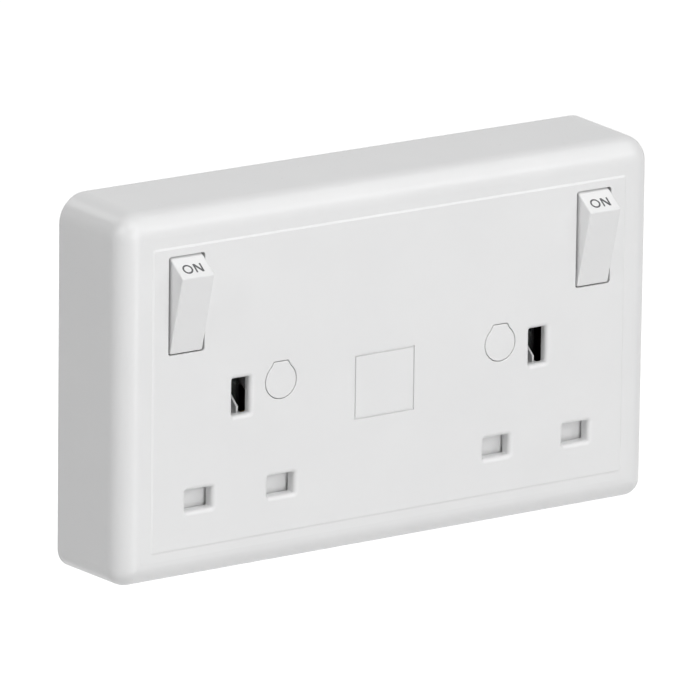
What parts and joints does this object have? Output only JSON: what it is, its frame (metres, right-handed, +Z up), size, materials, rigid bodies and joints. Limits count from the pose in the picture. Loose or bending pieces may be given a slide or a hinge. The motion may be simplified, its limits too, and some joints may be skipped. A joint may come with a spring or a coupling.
{
  "type": "socket converter",
  "caption": "White surface-mounted socket converter that turns a single wall box into a switched twin outlet, with rocker switches, shuttered pin slots and capped fixing screws.",
  "frame": {"origin": "centre of the back face, on the wall plane", "axes": "+X to the right seen from the front, +Y into the wall, +Z up"},
  "size_m": [0.1468, 0.0296, 0.0866],
  "materials": {
    "white_shell": "gloss moulded urea, fine even surface",
    "white_switch": "gloss moulded",
    "white_cap": "gloss moulded",
    "white_shutter": "satin moulded nylon",
    "dark_base": "matt moulded phenolic",
    "pale_plunger": "natural acetal",
    "brass": "pressed brass strip",
    "terminal_brass": "machined brass",
    "silver": "silver alloy contact",
    "spring_steel": "drawn spring wire",
    "plated_screw": "zinc-plated steel"
  },
  "bodies": {
    "housing": {"front_housing": "white_shell", "rear_base": "dark_base", "live_bar": "brass", "neutral_bar": "brass", "earth_bar": "brass", "terminal_screws": "plated_screw", "cover_screws": "plated_screw", "live_terminal": "terminal_brass", "neutral_terminal": "terminal_brass", "earth_terminal": "terminal_brass", "left_live_contact": "brass", "left_fixed_tip": "silver", "left_screw_cap": "white_cap", "left_shutter_spring": "spring_steel", "right_live_contact": "brass", "right_fixed_tip": "silver", "right_screw_cap": "white_cap", "right_shutter_spring": "spring_steel"},
    "left_rocker": {"left_rocker": "white_switch", "left_rocker_spring": "spring_steel"},
    "left_plunger": {"left_plunger": "pale_plunger"},
    "left_moving_contact": {"left_moving_contact": "brass", "left_moving_tip": "silver"},
    "left_shutter": {"left_shutter": "white_shutter"},
    "right_rocker": {"right_rocker": "white_switch", "right_rocker_spring": "spring_steel"},
    "right_plunger": {"right_plunger": "pale_plunger"},
    "right_moving_contact": {"right_moving_contact": "brass", "right_moving_tip": "silver"},
    "right_shutter": {"right_shutter": "white_shutter"}
  },
  "joints": [
    {"name": "left_rocker_switch", "type": "hinge", "parent": "housing", "child": "left_rocker", "pos_m": [-0.05582, -0.01995, 0.02135], "axis": [-1, 0, 0], "range_deg": [0, 28.8]},
    {"name": "left_plunger_slide", "type": "slide", "parent": "left_rocker", "child": "left_plunger", "axis": [0, -0.9686, -0.2487], "range_m": [0, 0.001], "stiffness_N_per_m": 500, "springref_m": -0.004, "deforming": ["left_rocker_spring"]},
    {"name": "left_contact_rock", "type": "hinge", "parent": "housing", "child": "left_moving_contact", "pos_m": [-0.05582, -0.01085, 0.02135], "axis": [1, 0, 0], "range_deg": [0, 19.2]},
    {"name": "left_shutter_slide", "type": "slide", "parent": "housing", "child": "left_shutter", "axis": [0, 0, -1], "range_m": [0, 0.0056], "stiffness_N_per_m": 150, "springref_m": -0.006, "deforming": ["left_shutter_spring"]},
    {"name": "right_rocker_switch", "type": "hinge", "parent": "housing", "child": "right_rocker", "pos_m": [0.05582, -0.01995, 0.02135], "axis": [-1, 0, 0], "range_deg": [0, 28.8]},
    {"name": "right_plunger_slide", "type": "slide", "parent": "right_rocker", "child": "right_plunger", "axis": [0, -0.9686, -0.2487], "range_m": [0, 0.001], "stiffness_N_per_m": 500, "springref_m": -0.004, "deforming": ["right_rocker_spring"]},
    {"name": "right_contact_rock", "type": "hinge", "parent": "housing", "child": "right_moving_contact", "pos_m": [0.05582, -0.01085, 0.02135], "axis": [1, 0, 0], "range_deg": [0, 19.2]},
    {"name": "right_shutter_slide", "type": "slide", "parent": "housing", "child": "right_shutter", "axis": [0, 0, -1], "range_m": [0, 0.0056], "stiffness_N_per_m": 150, "springref_m": -0.006, "deforming": ["right_shutter_spring"]}
  ],
  "couplings": [
    {"joint": "left_contact_rock", "follows": "left_rocker_switch", "ratio": 0.66667},
    {"joint": "right_contact_rock", "follows": "right_rocker_switch", "ratio": 0.66667}
  ]
}
